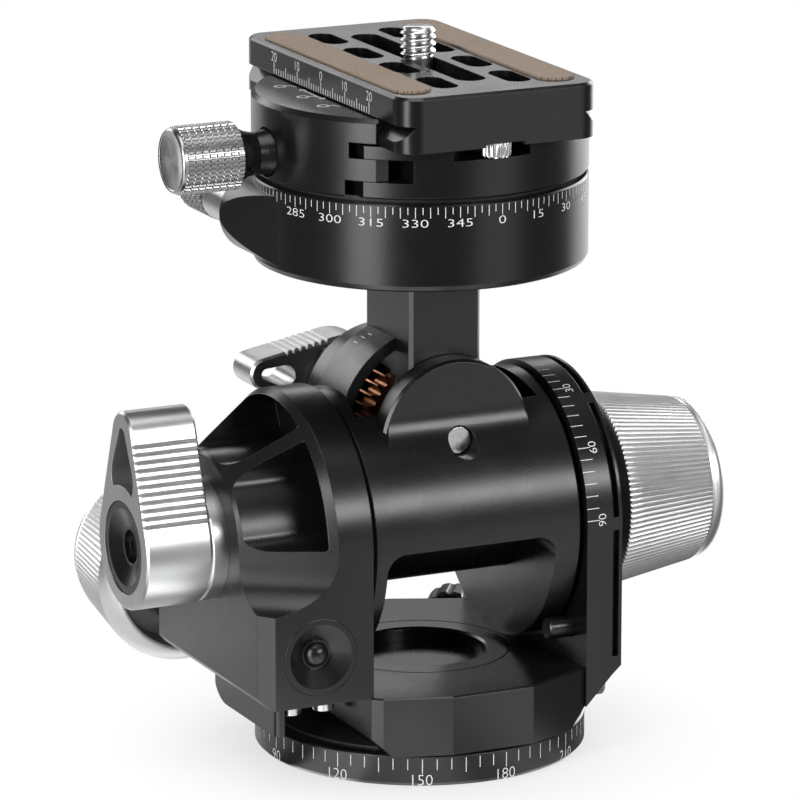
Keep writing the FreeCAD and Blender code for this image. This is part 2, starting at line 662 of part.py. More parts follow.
def knob_1_cap():
    return turned("Y", WORM_1, [(53.0, 8.0), (54.2, 8.0), (54.5, 7.7)])


def knob_2():
    body = turned("X", TILT, [(33.3, 17.4), (33.9, 18.2), (52.2, 15.2), (52.6, 14.7),
                              (53.2, 14.7), (54.5, 14.2), (55.0, 13.6)])
    shaft = rod("X", TILT, WORM_SHAFT_R + FIT, 30, 50.2)
    seat = rod("X", TILT, 9.0 + FIT, 53.4, 60)
    return body.cut([shaft, seat])


def knob_2_cap():
    return turned("X", TILT, [(53.4, 9.0), (54.7, 9.0), (55.0, 8.7)])


def knob_3():
    """Collar and grip of the pan worm, behind the drum."""
    collar = BOSS_REAR + 0.2
    body = turned("Y", PAN_WORM, [(collar, KNOB_3_R - 0.3), (collar + 0.3, KNOB_3_R),
                                  (27.3, KNOB_3_R), (27.5, KNOB_3_R + 0.1),
                                  (37.5, KNOB_3_R + 0.1), (38.3, KNOB_3_R - 0.6)])
    return body.cut(rod("Y", PAN_WORM, PAN_SHAFT_R + FIT, 10, 36.2))


# ---- levers ---------------------------------------------------------------------------------
def lever_blade(shape, thickness, ridges, ridge_pitch, first_ridge):
    """Blade in its own frame: hub at the origin, tip towards +Y, ridged flank on the -X side."""
    hub, tip, reach = shape
    lean = math.asin((hub - tip) / reach)
    flank = Vector(-math.cos(lean), math.sin(lean), 0)
    climb = Vector(math.sin(lean), math.cos(lean), 0)
    left_low = flank * hub
    left_high = Vector(0, reach, 0) + flank * tip
    mirror = [Vector(-p.x, p.y, 0) for p in (left_low, left_high)]
    edges = [Part.LineSegment(left_low, left_high).toShape(),
             Part.Arc(left_high, Vector(0, reach + tip, 0), mirror[1]).toShape(),
             Part.LineSegment(mirror[1], mirror[0]).toShape(),
             Part.Arc(mirror[0], Vector(0, -hub, 0), left_low).toShape()]
    body = Part.Face(Part.Wire(edges)).extrude(Vector(0, 0, thickness))
    rims = [edge for edge in body.Edges
            if min(edge.CenterOfMass.z, thickness - edge.CenterOfMass.z) < 1e-6]
    body = body.makeChamfer(0.45, rims)
    depth = 0.5 * ridge_pitch
    grooves = []
    for ridge in range(ridges):
        foot = left_low + climb * (first_ridge + ridge * ridge_pitch)
        corners = [foot + flank * 1 - climb * (ridge_pitch * 0.95), foot - flank * depth,
                   foot + flank * 1 + climb * (ridge_pitch * 0.35)]
        face = Part.Face(Part.makePolygon(corners + [corners[0]]))
        grooves.append(face.extrude(Vector(0, 0, thickness)))
    return body.cut(grooves)


def teardrop(low, low_r, high, high_r, thickness):
    """Through hole shaped like the lever, between two circle centres on the blade's middle."""
    reach = high - low
    lean = math.asin((low_r - high_r) / reach)
    out = Vector(-math.cos(lean), math.sin(lean), 0)
    points = [Vector(0, low, 0) + out * low_r, Vector(0, high, 0) + out * high_r]
    mirror = [Vector(-p.x, p.y, 0) for p in points]
    edges = [Part.LineSegment(points[0], points[1]).toShape(),
             Part.Arc(points[1], Vector(0, high + high_r, 0), mirror[1]).toShape(),
             Part.LineSegment(mirror[1], mirror[0]).toShape(),
             Part.Arc(mirror[0], Vector(0, low - low_r, 0), points[0]).toShape()]
    return Part.Face(Part.Wire(edges)).extrude(Vector(0, 0, thickness))


def placed(shape, across, up, along, origin):
    """Move a shape so that its X, Y and Z axes lie along the three given directions."""
    matrix = Matrix(across.x, up.x, along.x, origin.x, across.y, up.y, along.y, origin.y,
                    across.z, up.z, along.z, origin.z, 0, 0, 0, 1)
    copy = shape.copy()
    copy.Placement = Placement(matrix)
    return copy


def lever_1():
    width = LEVER_1_X[1] - LEVER_1_X[0]
    blade = lever_blade(LEVER_1_SHAPE, width, 11, 1.42, 2.6)
    window = teardrop(12.6, 4.9, 20.2, 1.5, width)
    window = window.cut(Part.makeCylinder(11.1, width + 2, Vector(0, 0, -1)))
    blade = blade.cut(window)
    blade = placed(blade, DIRECTION["Y"], DIRECTION["Z"], DIRECTION["X"],
                   Vector(LEVER_1_X[0], 0, TILT_Z))
    seat = rod("X", TILT, 8.4 + FIT, LEVER_1_X[0] - 1, LEVER_1_X[0] + 3.0)
    stem = rod("X", TILT, 5.0, LEVER_1_X[1] - 2, HUB_X + 5.1)
    return tidy(blade.cut(seat).fuse(stem))


def dished_cap(axis, across, radius, face, depth, inward):
    """Round cap with a dish and a smaller deep recess; inward is +1 or -1 along the axis."""
    def profile(points):
        placed_points = [(face + inward * step, r) for step, r in points]
        return placed_points if inward > 0 else placed_points[::-1]

    body = turned(axis, across, profile([(0.2, radius - 0.15), (0.35, radius), (depth, radius)]))
    dish = turned(axis, across, profile([(-1, radius * 0.83), (0.2, radius * 0.83),
                                         (1.5, radius * 0.42)]))
    well = turned(axis, across, profile([(-1, radius * 0.36), (depth - 0.3, radius * 0.36)]))
    return body.cut([dish, well])


def lever_1_cap():
    return dished_cap("X", TILT, 8.4, LEVER_1_X[0], 2.95, 1)


def lever_2():
    width = LEVER_2_Y[1] - LEVER_2_Y[0]
    blade = lever_blade(LEVER_2_SHAPE, width, 7, 1.36, 2.0)
    blade = blade.cut(teardrop(11.9, 2.0, 15.6, 1.1, width))
    lift = math.radians(LEVER_2_LIFT)
    up = Vector(-math.cos(lift), 0, math.sin(lift))
    across = up.cross(DIRECTION["Y"])
    blade = placed(blade, across, up, DIRECTION["Y"], Vector(0, LEVER_2_Y[0], ROLL_Z))
    seat = rod("Y", ROLL, 6.2 + FIT, LEVER_2_Y[1] - 2.6, LEVER_2_Y[1] + 1)
    stem = rod("Y", ROLL, 3.5, EAR_REAR[1] + 0.4, LEVER_2_Y[0] + 2)
    return tidy(blade.cut(seat).fuse(stem))


def lever_2_cap():
    return dished_cap("Y", ROLL, 6.2, LEVER_2_Y[1], 2.55, -1)


# ---- rolling arm and drum -------------------------------------------------------------------
def arm():
    foot = rod("Y", ROLL, ARM_HALF, ARM_FRONT, ARM_REAR)
    shank = block((-ARM_HALF, ARM_HALF), (ARM_FRONT, ARM_REAR), (ROLL_Z, DRUM_BOTTOM))
    body = tidy(foot.fuse(shank))
    bevel = 0.7
    for x in (-ARM_HALF, ARM_HALF):
        for y in (ARM_FRONT, ARM_REAR):
            corner = prism("Z", [(x - bevel, y), (x, y - bevel), (x + bevel, y), (x, y + bevel)],
                           ROLL_Z, DRUM_BOTTOM - 1.6)
            body = body.cut(corner)
    wheel_gap = rod("Y", ROLL, WHEEL_PITCH_R + 1.1, -WHEEL_2_HALF - RUN, WHEEL_2_HALF + RUN)
    bore = rod("Y", ROLL, 4.5, -20, 20)
    bolt = rod("Z", CENTRE, 2.5 + FIT, 74.0, 120)
    screws = [rod("Y", place, 1.0 + FIT, ARM_FRONT - 1, ARM_REAR - 1.5) for place in WHEEL_SCREWS]
    heads = [rod("Y", place, 1.9, ARM_FRONT - 1, ARM_FRONT + 1.6) for place in WHEEL_SCREWS]
    return tidy(body.cut([wheel_gap, bore, bolt] + screws + heads))


WHEEL_SCREWS = ((-4.2, 65.6), (4.2, 65.6))


def arm_bushes():
    front = ring("Y", ROLL, 4.5 - FIT, PIN_R + RUN, ARM_FRONT + 0.1, -WHEEL_2_HALF - 0.1)
    rear = ring("Y", ROLL, 4.5 - FIT, PIN_R + RUN, WHEEL_2_HALF + 0.1, ARM_REAR - 0.1)
    return [front, rear]


def worm_wheel_2():
    wheel = gear_wheel("Y", ROLL, WHEEL_TEETH, WHEEL_PITCH_R, -WHEEL_2_HALF, WHEEL_2_HALF,
                       PIN_R + RUN, -90)
    return wheel.cut([rod("Y", place, 1.0 + FIT, -10, 10) for place in WHEEL_SCREWS])


def wheel_2_screws():
    return [cap_screw("Y", place, 1.0, 1.8, ARM_FRONT + 0.1, ARM_FRONT + 1.6, ARM_REAR - 1.8)
            for place in WHEEL_SCREWS]


def roll_scale_arc():
    """Curved scale plate on the arm's left side, which runs down into the barrel."""
    band = ring("Y", ROLL, ARC_OUT, ARC_IN, ARC_FRONT, ARC_REAR)
    low = ROLL_Z + ARC_IN * math.cos(math.radians(85))
    return band.common(block((-30, -ARM_HALF - FIT), (-20, 20), (low, 100)))


def pan_boss():
    """Housing of the pan worm, which rises out of the drum's side in a flat slope."""
    edge = PAN_WORM[0] - BOSS_R
    drum_r = DRUM_R - 0.05
    turn = math.atan2(BOSS_REAR, edge) + math.acos(drum_r / math.hypot(edge, BOSS_REAR))
    start = (drum_r * math.cos(turn), drum_r * math.sin(turn))
    body = turned("Y", PAN_WORM, [(start[1], BOSS_R), (BOSS_REAR - 0.3, BOSS_R),
                                  (BOSS_REAR, BOSS_R - 0.3)])
    slope = prism("Z", [start, (edge, BOSS_REAR), (0, BOSS_REAR), (0, start[1])], 80, 120)
    return body.common(slope)


def drum():
    body = turned("Z", CENTRE, [(DRUM_BOTTOM, DRUM_R - 1.2), (DRUM_BOTTOM + 0.35, DRUM_R - 0.45),
                                (DRUM_BOTTOM + 1.2, DRUM_R), (DRUM_TOP - 0.3, DRUM_R),
                                (DRUM_TOP, DRUM_R - 0.3)])
    body = body.fuse(pan_boss())
    room = rod("Z", CENTRE, PAN_PITCH_R + 0.9, DRUM_FLOOR, DRUM_TOP + 10)
    post = rod("Z", CENTRE, POST_R, DRUM_FLOOR, POST_TOP)
    body = body.cut(room).fuse(post)
    cuts = [rod("Y", PAN_WORM, 3.15, -4.8, 4.8),
            rod("Y", PAN_WORM, 2.2, -8.0, 8.8),
            rod("Y", PAN_WORM, PAN_SHAFT_R + RUN, 0, 40),
            rod("Y", PAN_WORM, KNOB_3_R + 0.3, BOSS_REAR, 40),
            rod("Z", CENTRE, 2.5 + FIT, 80, 120)]
    return tidy(body.cut(cuts))


def worm_3_bushes():
    return [ring("Y", PAN_WORM, 2.2 - FIT, PAN_SHAFT_R + RUN, low, high)
            for low, high in ((-7.8, -5.0), (5.0, 8.7))]


def arm_bolt():
    """Bolt down the middle of the drum's post into the arm."""
    return cap_screw("Z", CENTRE, 2.5, 4.4, POST_TOP + 5.0, POST_TOP + 1.2, 74.4)


def pan_top_washer():
    """Washer on the post that holds the clamp down on the drum."""
    return ring("Z", CENTRE, 9.0, 2.5 + FIT, POST_TOP + 0.05, POST_TOP + 1.18)


def pan_top_ring():
    return ring("Z", CENTRE, 28.0, 24.6, DRUM_TOP, CLAMP_BOTTOM - RUN)


# ---- panning clamp --------------------------------------------------------------------------
def clamp_envelope():
    return turned("Z", CENTRE, [(CLAMP_BOTTOM, DRUM_R - 0.3), (CLAMP_BOTTOM + 0.3, DRUM_R),
                                (CLAMP_TOP - 0.8, DRUM_R), (CLAMP_TOP, DRUM_R - 0.8)])


# steps of the comb joint between the fixed body and the jaw
COMB_LOW = 109.2
COMB_HIGH = 113.3
COMB_TOP = 116.0
LIP_LOW = CLAMP_TOP - (SEAT_HALF - LIP_HALF)


def clamp_body():
    profile = [(-21.1, CLAMP_BOTTOM), (40, CLAMP_BOTTOM), (40, CLAMP_TOP), (LIP_HALF, CLAMP_TOP),
               (SEAT_HALF, LIP_LOW), (SEAT_HALF, CLAMP_FLOOR), (-21.0, CLAMP_FLOOR),
               (-21.0, COMB_HIGH),
               (-13.9, COMB_HIGH), (-13.9, COMB_LOW), (-21.1, COMB_LOW)]
    body = prism("Y", profile, -40, 40).common(clamp_envelope())
    spigot = rod("Z", CENTRE, 15.0, 95.0, CLAMP_BOTTOM)
    body = body.fuse(spigot)
    cuts = [rod("Z", CENTRE, POST_R + RUN, 90, POST_TOP + 1),
            rod("Z", CENTRE, 9.3, POST_TOP, CLAMP_FLOOR + 1),
            rod("X", (0, CLAMP_AXIS_Z), 1.5 + FIT, -20, -9)]
    cuts += [rod("X", (y, CLAMP_AXIS_Z), 1.5 + FIT, -20, -8) for y in GUIDE_Y]
    for limits in ((-40, -RECESS_Y), (RECESS_Y, 40)):
        cuts.append(block(RECESS_X, limits, (RECESS_FLOOR, CLAMP_FLOOR + 1)))
    return tidy(body.cut(cuts))


GUIDE_Y = (-14.0, 14.0)


def clamp_jaw():
    profile = [(-23.4, CLAMP_BOTTOM), (-23.4, COMB_LOW + 0.1), (-17.0, COMB_LOW + 0.1),
               (-17.0, COMB_HIGH - 0.1), (-22.9, COMB_HIGH - 0.1), (-22.9, COMB_TOP),
               (-SEAT_HALF, COMB_TOP), (-SEAT_HALF, LIP_LOW), (-LIP_HALF, CLAMP_TOP),
               (-40, CLAMP_TOP), (-40, CLAMP_BOTTOM)]
    body = prism("Y", profile, -JAW_END, JAW_END).common(clamp_envelope())
    cuts = [rod("X", (0, CLAMP_AXIS_Z), 1.5 + RUN, -40, 0),
            rod("X", (0, CLAMP_AXIS_Z), 4.5, -40, -29.0)]
    cuts += [rod("X", (y, CLAMP_AXIS_Z), 1.5 + RUN, -25.2, 0) for y in GUIDE_Y]
    return tidy(body.cut(cuts))


def pan_gear():
    return gear_wheel("Z", CENTRE, PAN_TEETH, PAN_PITCH_R, 95.2, 100.8, 15.0 + FIT, 180)


def clamp_screw():
    return rod("X", (0, CLAMP_AXIS_Z), 1.5, -46.0, -9.4)


def jaw_guide_pins():
    return [rod("X", (y, CLAMP_AXIS_Z), 1.5, -22.0, -8.2) for y in GUIDE_Y]


def clamp_knob_hub():
    """Waisted black hub, with the nut that runs on the clamp screw."""
    axis = (0, CLAMP_AXIS_Z)
    body = turned("X", axis, [(-46.8, 4.4), (-36.6, 4.4), (-36.6, 5.2), (-35.6, 4.8),
                              (-34.2, 4.1), (-32.4, 3.7), (-31.0, 3.9), (-29.1, 4.3)])
    return body.cut(rod("X", axis, 1.5 + RUN, -46.1, 0))


def clamp_knob_sleeve():
    axis = (0, CLAMP_AXIS_Z)
    body = turned("X", axis, [(-48.2, 5.2), (-47.8, 5.7), (-47.5, 6.05), (-36.9, 6.05),
                              (-36.4, 5.5)])
    return body.cut(rod("X", axis, 4.4 + FIT, -46.9, 0)).cut(rod("X", axis, 5.2 + FIT, -36.6, 0))


# ---- plate ----------------------------------------------------------------------------------
def strip_outline(side, grow):
    """Rubber strip with three small scallops at each end; grow widens it for its pocket."""
    return slot(side * STRIP_X, STRIP_Y[0] - grow, STRIP_Y[1] + grow, STRIP_HALF + grow,
                PLATE_TOP - 0.3, PLATE_TOP + 0.4)


def rubber_strips():
    strips = []
    for side in (-1, 1):
        body = strip_outline(side, 0)
        reach = STRIP_HALF + 0.25
        for y_middle, outward in ((STRIP_Y[0] + STRIP_HALF, -1), (STRIP_Y[1] - STRIP_HALF, 1)):
            for angle in (30, 60, 90, 120, 150):
                turn = math.radians(angle)
                place = (side * STRIP_X + reach * math.cos(turn),
                         y_middle + outward * reach * math.sin(turn))
                body = body.cut(rod("Z", place, 0.5, 120, 130))
        strips.append(tidy(body))
    return strips


SHORT_SLOTS_Y = tuple(-21.3 + 15.0 * step for step in range(4))


def plate():
    body = block((-PLATE_HALF, PLATE_HALF), PLATE_Y, (PLATE_BOTTOM, PLATE_TOP))
    body = body.makeFillet(4.0, edges_along(body, "Z"))
    top = [edge for edge in body.Edges if abs(edge.CenterOfMass.z - PLATE_TOP) < 1e-6]
    body = body.makeChamfer(0.5, top)
    far = PLATE_HALF + 1.0
    near = PLATE_HALF - GROOVE_DEPTH
    drop = far - near
    for side in (-1, 1):
        body = body.cut(prism("Y", [(side * far, GROOVE_TOP), (side * near, GROOVE_TOP),
                                    (side * far, GROOVE_TOP - drop)], -50, 50))
        body = body.cut(strip_outline(side, 0.05))
        for y in SHORT_SLOTS_Y:
            body = body.cut(slot(side * 7.0, y - 5.4, y + 5.4, 2.4, 100, 140))
    body = body.cut(slot(0, -22.7, 25.3, 2.75, 100, 140))
    body = body.cut(block((-7.2, 7.2), (-20.0, 23.0), (PLATE_BOTTOM - 1, 121.0)))
    for limits in ((-40, STOP_Y[0] + 3.4), (STOP_Y[1] - 3.4, 40)):
        body = body.cut(block((-3.4, 4.3), limits, (PLATE_BOTTOM - 1, STOP_HEAD[1])))
    stops = [rod("Z", (0.4, y), 1.3 + FIT, PLATE_BOTTOM - 1, PLATE_BOTTOM + 4.5) for y in STOP_Y]
    return tidy(body.cut(stops))


def stop_screws():
    screws = []
    for y in STOP_Y:
        low, high = STOP_HEAD
        head = turned("Z", (0.4, y), [(low, 2.5), (low + 0.2, 2.7), (high - 0.2, 2.7), (high, 2.5)])
        screws.append(head.fuse(rod("Z", (0.4, y), 1.3, high, PLATE_BOTTOM + 4.3)))
    return screws


def camera_screw_washer():
    return ring("Z", (0, SCREW_Y), 6.9, 2.6 + RUN, 120.45, 120.95)


def camera_screw():
    thread_low = PLATE_TOP + 0.5
    top = PLATE_TOP + 5.6
    body = turned("Z", (0, SCREW_Y), [(117.5, 6.2), (117.8, 6.6), (120.4, 6.6), (120.4, 2.6),
                                      (thread_low, 2.6), (thread_low, SCREW_THREAD_R),
                                      (top - 0.6, SCREW_THREAD_R), (top, 2.5)])
    coin_slot = block((-7, 7), (SCREW_Y - 0.7, SCREW_Y + 0.7), (117, 118.6))
    return body.cut(coin_slot)


PIECES = (base_disc, tripod_bush, pan_washer, pan_retaining_ring,
          deck_plate, left_tower, right_upright, tower_screws, upright_screws, tilt_bush_left,
          tilt_bush_right, worm_1_bushes, worm_1_cap, worm_1_housing, lever_1_collar, stop_pin,
          pan_lock_knob, pan_lock_screw,
          barrel, worm_wheel_1, wheel_1_nut, tilt_nut, worm_2_bushes, pivot_pin, lever_2_housing,
          worm_1, knob_1, knob_1_cap, worm_2, knob_2, knob_2_cap,
          lever_1, lever_1_cap, lever_2, lever_2_cap,
          arm, arm_bushes, worm_wheel_2, wheel_2_screws, roll_scale_arc, drum, arm_bolt,
          pan_top_washer, pan_top_ring, worm_3_bushes, worm_3, knob_3,
          clamp_body, pan_gear, clamp_screw, jaw_guide_pins, clamp_jaw,
          clamp_knob_hub, clamp_knob_sleeve,
          plate, rubber_strips, stop_screws, camera_screw_washer, camera_screw)


def main():
    os.makedirs("parts", exist_ok=True)
    for piece in PIECES:
        shape = piece()
        if isinstance(shape, list):
            shape = Part.makeCompound(shape)
        solids = shape.Solids
        if len(solids) == 1:
            shape = solids[0]
        sound = all(solid.isValid() and solid.Volume > 0 for solid in solids)
        print(piece.__name__, len(solids), round(shape.Volume, 1), "ok" if sound else "NOT SOUND")
        shape.exportStep("parts/" + piece.__name__ + ".step")


main()
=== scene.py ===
import json
import math

import bpy
from mathutils import Matrix, Vector

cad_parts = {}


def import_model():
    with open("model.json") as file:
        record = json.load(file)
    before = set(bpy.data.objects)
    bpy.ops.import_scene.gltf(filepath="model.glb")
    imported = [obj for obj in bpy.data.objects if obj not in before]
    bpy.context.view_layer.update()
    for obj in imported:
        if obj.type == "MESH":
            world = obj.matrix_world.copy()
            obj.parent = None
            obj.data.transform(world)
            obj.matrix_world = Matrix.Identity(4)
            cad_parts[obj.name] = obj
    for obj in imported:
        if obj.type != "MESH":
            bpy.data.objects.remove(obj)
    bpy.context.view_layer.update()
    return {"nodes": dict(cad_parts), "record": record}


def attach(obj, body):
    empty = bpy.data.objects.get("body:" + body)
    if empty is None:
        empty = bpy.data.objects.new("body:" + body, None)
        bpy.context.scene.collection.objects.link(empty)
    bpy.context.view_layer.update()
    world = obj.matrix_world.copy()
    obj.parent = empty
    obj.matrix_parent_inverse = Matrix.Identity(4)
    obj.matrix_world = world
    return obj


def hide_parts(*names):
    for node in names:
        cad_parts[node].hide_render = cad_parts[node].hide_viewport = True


# Geared tripod head.  Lengths in the tables below are millimetres; MM turns them into metres.
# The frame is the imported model's: +Z up, -Y front, +X towards the large knob.
MM = 0.001
TILT_Z = 42.6
ROLL_Z = 59.4
WORM_1 = (-31.2, 25.8)
WORM_3 = (-26.0, 97.8)
CLAMP_Z = 111.25
CLAMP_TOP = 120.25
SCREW_Y = 0.9
DISC_R = 30.0              # base disc and drum
RIM_R = 25.3               # rim of the right upright
ARC_R = 18.3               # outer face of the roll scale arc
PLATE_SIDE = 19.0          # half width of the camera plate
ENGRAVED = 0.02            # height of filled marks above the surface
BASE_ZERO = -264.6         # degrees from +X to the zero of the base scale
DRUM_ZERO = -87.1          # the same for the drum scale
TILT_ZERO = 3.7            # degrees from the rim's top back to the zero of the tilt scale

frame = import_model()


# ---- materials ------------------------------------------------------------------------------
class Graph:
    """A node tree with a few short calls to build on it."""

    def __init__(self, tree):
        self.tree = tree

    def add(self, kind, **values):
        node = self.tree.nodes.new(kind)
        for key, value in values.items():
            setattr(node, key, value)
        return node

    def link(self, source, target):
        self.tree.links.new(source, target)

    def spread(self, source, low, high, start=0.3, end=0.7, kind="LINEAR"):
        """Map a value from start..end to low..high."""
        node = self.add("ShaderNodeMapRange", interpolation_type=kind)
        for key, value in (("From Min", start), ("From Max", end), ("To Min", low), ("To Max", high)):
            node.inputs[key].default_value = value
        self.link(source, node.inputs["Value"])
        return node.outputs["Result"]

    def combine(self, operation, first, second):
        """One step of arithmetic on two outputs."""
        node = self.add("ShaderNodeMath", operation=operation)
        self.link(first, node.inputs[0])
        self.link(second, node.inputs[1])
        return node.outputs[0]

    def vector(self, operation, source):
        node = self.add("ShaderNodeVectorMath", operation=operation)
        self.link(source, node.inputs[0])
        return node


class Nodes(Graph):
    """A new node material with its shader and textures in the piece's own coordinates."""

    def __init__(self, name):
        self.material = bpy.data.materials.new(name)
        self.material.use_nodes = True
        super().__init__(self.material.node_tree)
        self.shader = self.tree.nodes["Principled BSDF"]
        self.place = self.add("ShaderNodeTexCoord").outputs["Object"]

    def set(self, **values):
        for key, value in values.items():
            self.shader.inputs[key.replace("_", " ")].default_value = value

    def noise(self, scale, detail=2.0, stretch=(1, 1, 1)):
        place = self.place
        if stretch != (1, 1, 1):
            mapping = self.add("ShaderNodeMapping")
            mapping.inputs["Scale"].default_value = stretch
            self.link(self.place, mapping.inputs["Vector"])
            place = mapping.outputs["Vector"]
        node = self.add("ShaderNodeTexNoise")
        node.inputs["Scale"].default_value = scale
        node.inputs["Detail"].default_value = detail
        self.link(place, node.inputs["Vector"])
        return node.outputs["Fac"]

    def blend(self, source, first, second):
        """Mix two colours by a texture value."""
        node = self.add("ShaderNodeMix", data_type="RGBA")
        node.inputs["A"].default_value = (*first, 1)
        node.inputs["B"].default_value = (*second, 1)
        self.link(source, node.inputs["Factor"])
        return node.outputs["Result"]

    def relief(self, height, distance, edge=0.0):
        """Bump from a height, on top of softly rounded edges of the given radius."""
        bump = self.add("ShaderNodeBump")
        bump.inputs["Distance"].default_value = distance * MM
        self.link(height, bump.inputs["Height"])
        if edge:
            bevel = self.add("ShaderNodeBevel", samples=4)
            bevel.inputs["Radius"].default_value = edge * MM
            self.link(bevel.outputs["Normal"], bump.inputs["Normal"])
        self.link(bump.outputs["Normal"], self.shader.inputs["Normal"])


def anodised_black():
    m = Nodes("anodised_black")
    m.set(Metallic=0.0, IOR=1.52)
    m.link(m.blend(m.noise(55, 3), (0.0045, 0.0045, 0.0050), (0.0070, 0.0068, 0.0070)),
           m.shader.inputs["Base Color"])
    m.link(m.spread(m.noise(130, 4), 0.25, 0.30), m.shader.inputs["Roughness"])
    m.relief(m.noise(4200, 2), 0.0015, 0.18)
    return m.material


def blasted_silver():
    m = Nodes("blasted_silver")
    m.set(Metallic=1.0)
    m.link(m.blend(m.noise(90, 3), (0.50, 0.505, 0.515), (0.56, 0.565, 0.57)),
           m.shader.inputs["Base Color"])
    m.link(m.spread(m.noise(300, 4), 0.33, 0.38), m.shader.inputs["Roughness"])
    m.relief(m.noise(3600, 2), 0.0012, 0.2)
    return m.material


def turned_silver(name, low, high, gloss):
    """Satin silver of the knurled pieces between two brightness levels."""
    m = Nodes(name)
    m.set(Metallic=1.0)
    m.link(m.blend(m.noise(200, 3), (low, low, low + 0.01), (high, high, high + 0.005)),
           m.shader.inputs["Base Color"])
    m.link(m.spread(m.noise(800, 3), gloss, gloss + 0.07), m.shader.inputs["Roughness"])
    m.relief(m.noise(5200, 2), 0.0012)
    return m.material


def steel():
    m = Nodes("machined_steel")
    m.set(Metallic=1.0)
    m.link(m.blend(m.noise(300, 3), (0.48, 0.48, 0.49), (0.60, 0.60, 0.60)),
           m.shader.inputs["Base Color"])
    m.link(m.spread(m.noise(900, 3), 0.2, 0.32), m.shader.inputs["Roughness"])
    m.relief(m.noise(2500, 2, (1, 1, 6)), 0.003, 0.1)
    return m.material


def chrome():
    m = Nodes("bright_chrome")
    m.set(Metallic=1.0)
    m.link(m.blend(m.noise(400, 2), (0.70, 0.70, 0.71), (0.78, 0.78, 0.78)),
           m.shader.inputs["Base Color"])
    m.link(m.spread(m.noise(500, 2), 0.24, 0.30), m.shader.inputs["Roughness"])
    return m.material


def bronze():
    m = Nodes("gear_bronze_painted_shade")
    m.set(Metallic=1.0)
    # Base colour darkened far below bronze's own: painted shade for the worm wheels, which sit in
    # shadow inside the head.
    m.link(m.blend(m.noise(500, 3), (0.22, 0.085, 0.035), (0.36, 0.15, 0.06)),
           m.shader.inputs["Base Color"])
    m.link(m.spread(m.noise(900, 3), 0.25, 0.4), m.shader.inputs["Roughness"])
    m.relief(m.noise(2500, 2), 0.004, 0.1)
    return m.material


def washer_plastic():
    m = Nodes("washer_plastic")
    m.link(m.blend(m.noise(300, 3), (0.02, 0.02, 0.02), (0.035, 0.035, 0.034)),
           m.shader.inputs["Base Color"])
    m.link(m.spread(m.noise(900, 3), 0.45, 0.6), m.shader.inputs["Roughness"])
    m.relief(m.noise(2500, 2), 0.003)
    return m.material


def white_fill():
    m = Nodes("white_fill")
    m.link(m.blend(m.noise(900, 3), (0.80, 0.80, 0.79), (0.92, 0.92, 0.91)),
           m.shader.inputs["Base Color"])
    m.link(m.spread(m.noise(1500, 2), 0.45, 0.6), m.shader.inputs["Roughness"])
    m.relief(m.noise(5000, 1), 0.002)
    return m.material


def brown_rubber():
    """Rubber with a fine woven grid, its lines 0.62 mm apart."""
    m = Nodes("brown_rubber")
    m.set(Metallic=0.0)
    lines = []
    for axis in ("X", "Y"):
        wave = m.add("ShaderNodeTexWave", wave_type="BANDS", bands_direction=axis)
        wave.inputs["Scale"].default_value = 500
        m.link(m.place, wave.inputs["Vector"])
        lines.append(wave.outputs["Fac"])
    grid = m.combine("MULTIPLY", *lines)
    m.link(m.blend(m.spread(grid, 0, 1, 0.05, 0.6), (0.20, 0.142, 0.103),
                   (0.46, 0.36, 0.275)), m.shader.inputs["Base Color"])
    m.link(m.spread(m.noise(900, 3), 0.55, 0.72), m.shader.inputs["Roughness"])
    m.relief(grid, 0.12)
    return m.material


MATERIALS = {"black_anodised": anodised_black(), "silver_aluminium": blasted_silver(),
             "steel": steel(), "bronze": bronze(), "chrome": chrome(), "rubber": brown_rubber(),
             "washer_plastic": washer_plastic()}
KNOB_SILVER = turned_silver("knob_silver", 0.72, 0.82, 0.38)
SLEEVE_SILVER = turned_silver("sleeve_silver", 0.36, 0.44, 0.26)
WHITE = white_fill()


def dress_nodes():
    """Give every carried-over node the material of its record slot."""
    slots = {part["node"]: part["material_slot"] for part in frame["record"]["subparts"]}
    for name, node in frame["nodes"].items():
        node.data.materials.clear()
        node.data.materials.append(MATERIALS[slots[name]])


# ---- mesh helpers ---------------------------------------------------------------------------
AXES = {"X": ((1, 0, 0), (0, 1, 0), (0, 0, 1)), "Y": ((0, 1, 0), (0, 0, 1), (1, 0, 0)),
        "Z": ((0, 0, 1), (1, 0, 0), (0, 1, 0))}


def on_axis(axis, centre, along, radius, angle):
    """Point at a radius and angle about a line; centre is any point of the line."""
    main, first, second = (Vector(v) for v in AXES[axis])
    return (Vector(centre) + main * along + first * (radius * math.cos(angle))
            + second * (radius * math.sin(angle)))


def make_piece(name, points, faces, material, body, smooth=True, nodes=()):
    """Mesh object from millimetre points that rides on a body."""
    mesh = bpy.data.meshes.new(name)
    mesh.from_pydata([tuple(Vector(p) * MM) for p in points], [], faces)
    mesh.validate()
    mesh.materials.append(material)
    if smooth:
        mesh.shade_smooth()
    piece = bpy.data.objects.new(name, mesh)
    bpy.context.scene.collection.objects.link(piece)
    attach(piece, body)
    if nodes:
        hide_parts(*nodes)
    return piece


def lathe_rows(axis, centre, rows, columns, radius_of):
    """Grid of points and faces about an axis; radius_of(row, column) gives each radius."""
    points = []
    for row, along in enumerate(rows):
        for column in range(columns):
            angle = 2 * math.pi * column / columns
            points.append(on_axis(axis, centre, along, radius_of(row, column), angle))
    faces = []
    for row in range(len(rows) - 1):
        for column in range(columns):
            a = row * columns + column
            b = row * columns + (column + 1) % columns
            faces.append((a, b, b + columns, a + columns))
    return points, faces


def close_end(points, faces, start, columns, tip, flip):
    """Fan of faces from one row of a grid to a point on the axis."""
    points.append(tip)
    for column in range(columns):
        a = start + column
        b = start + (column + 1) % columns
        faces.append((len(points) - 1, a, b) if flip else (len(points) - 1, b, a))


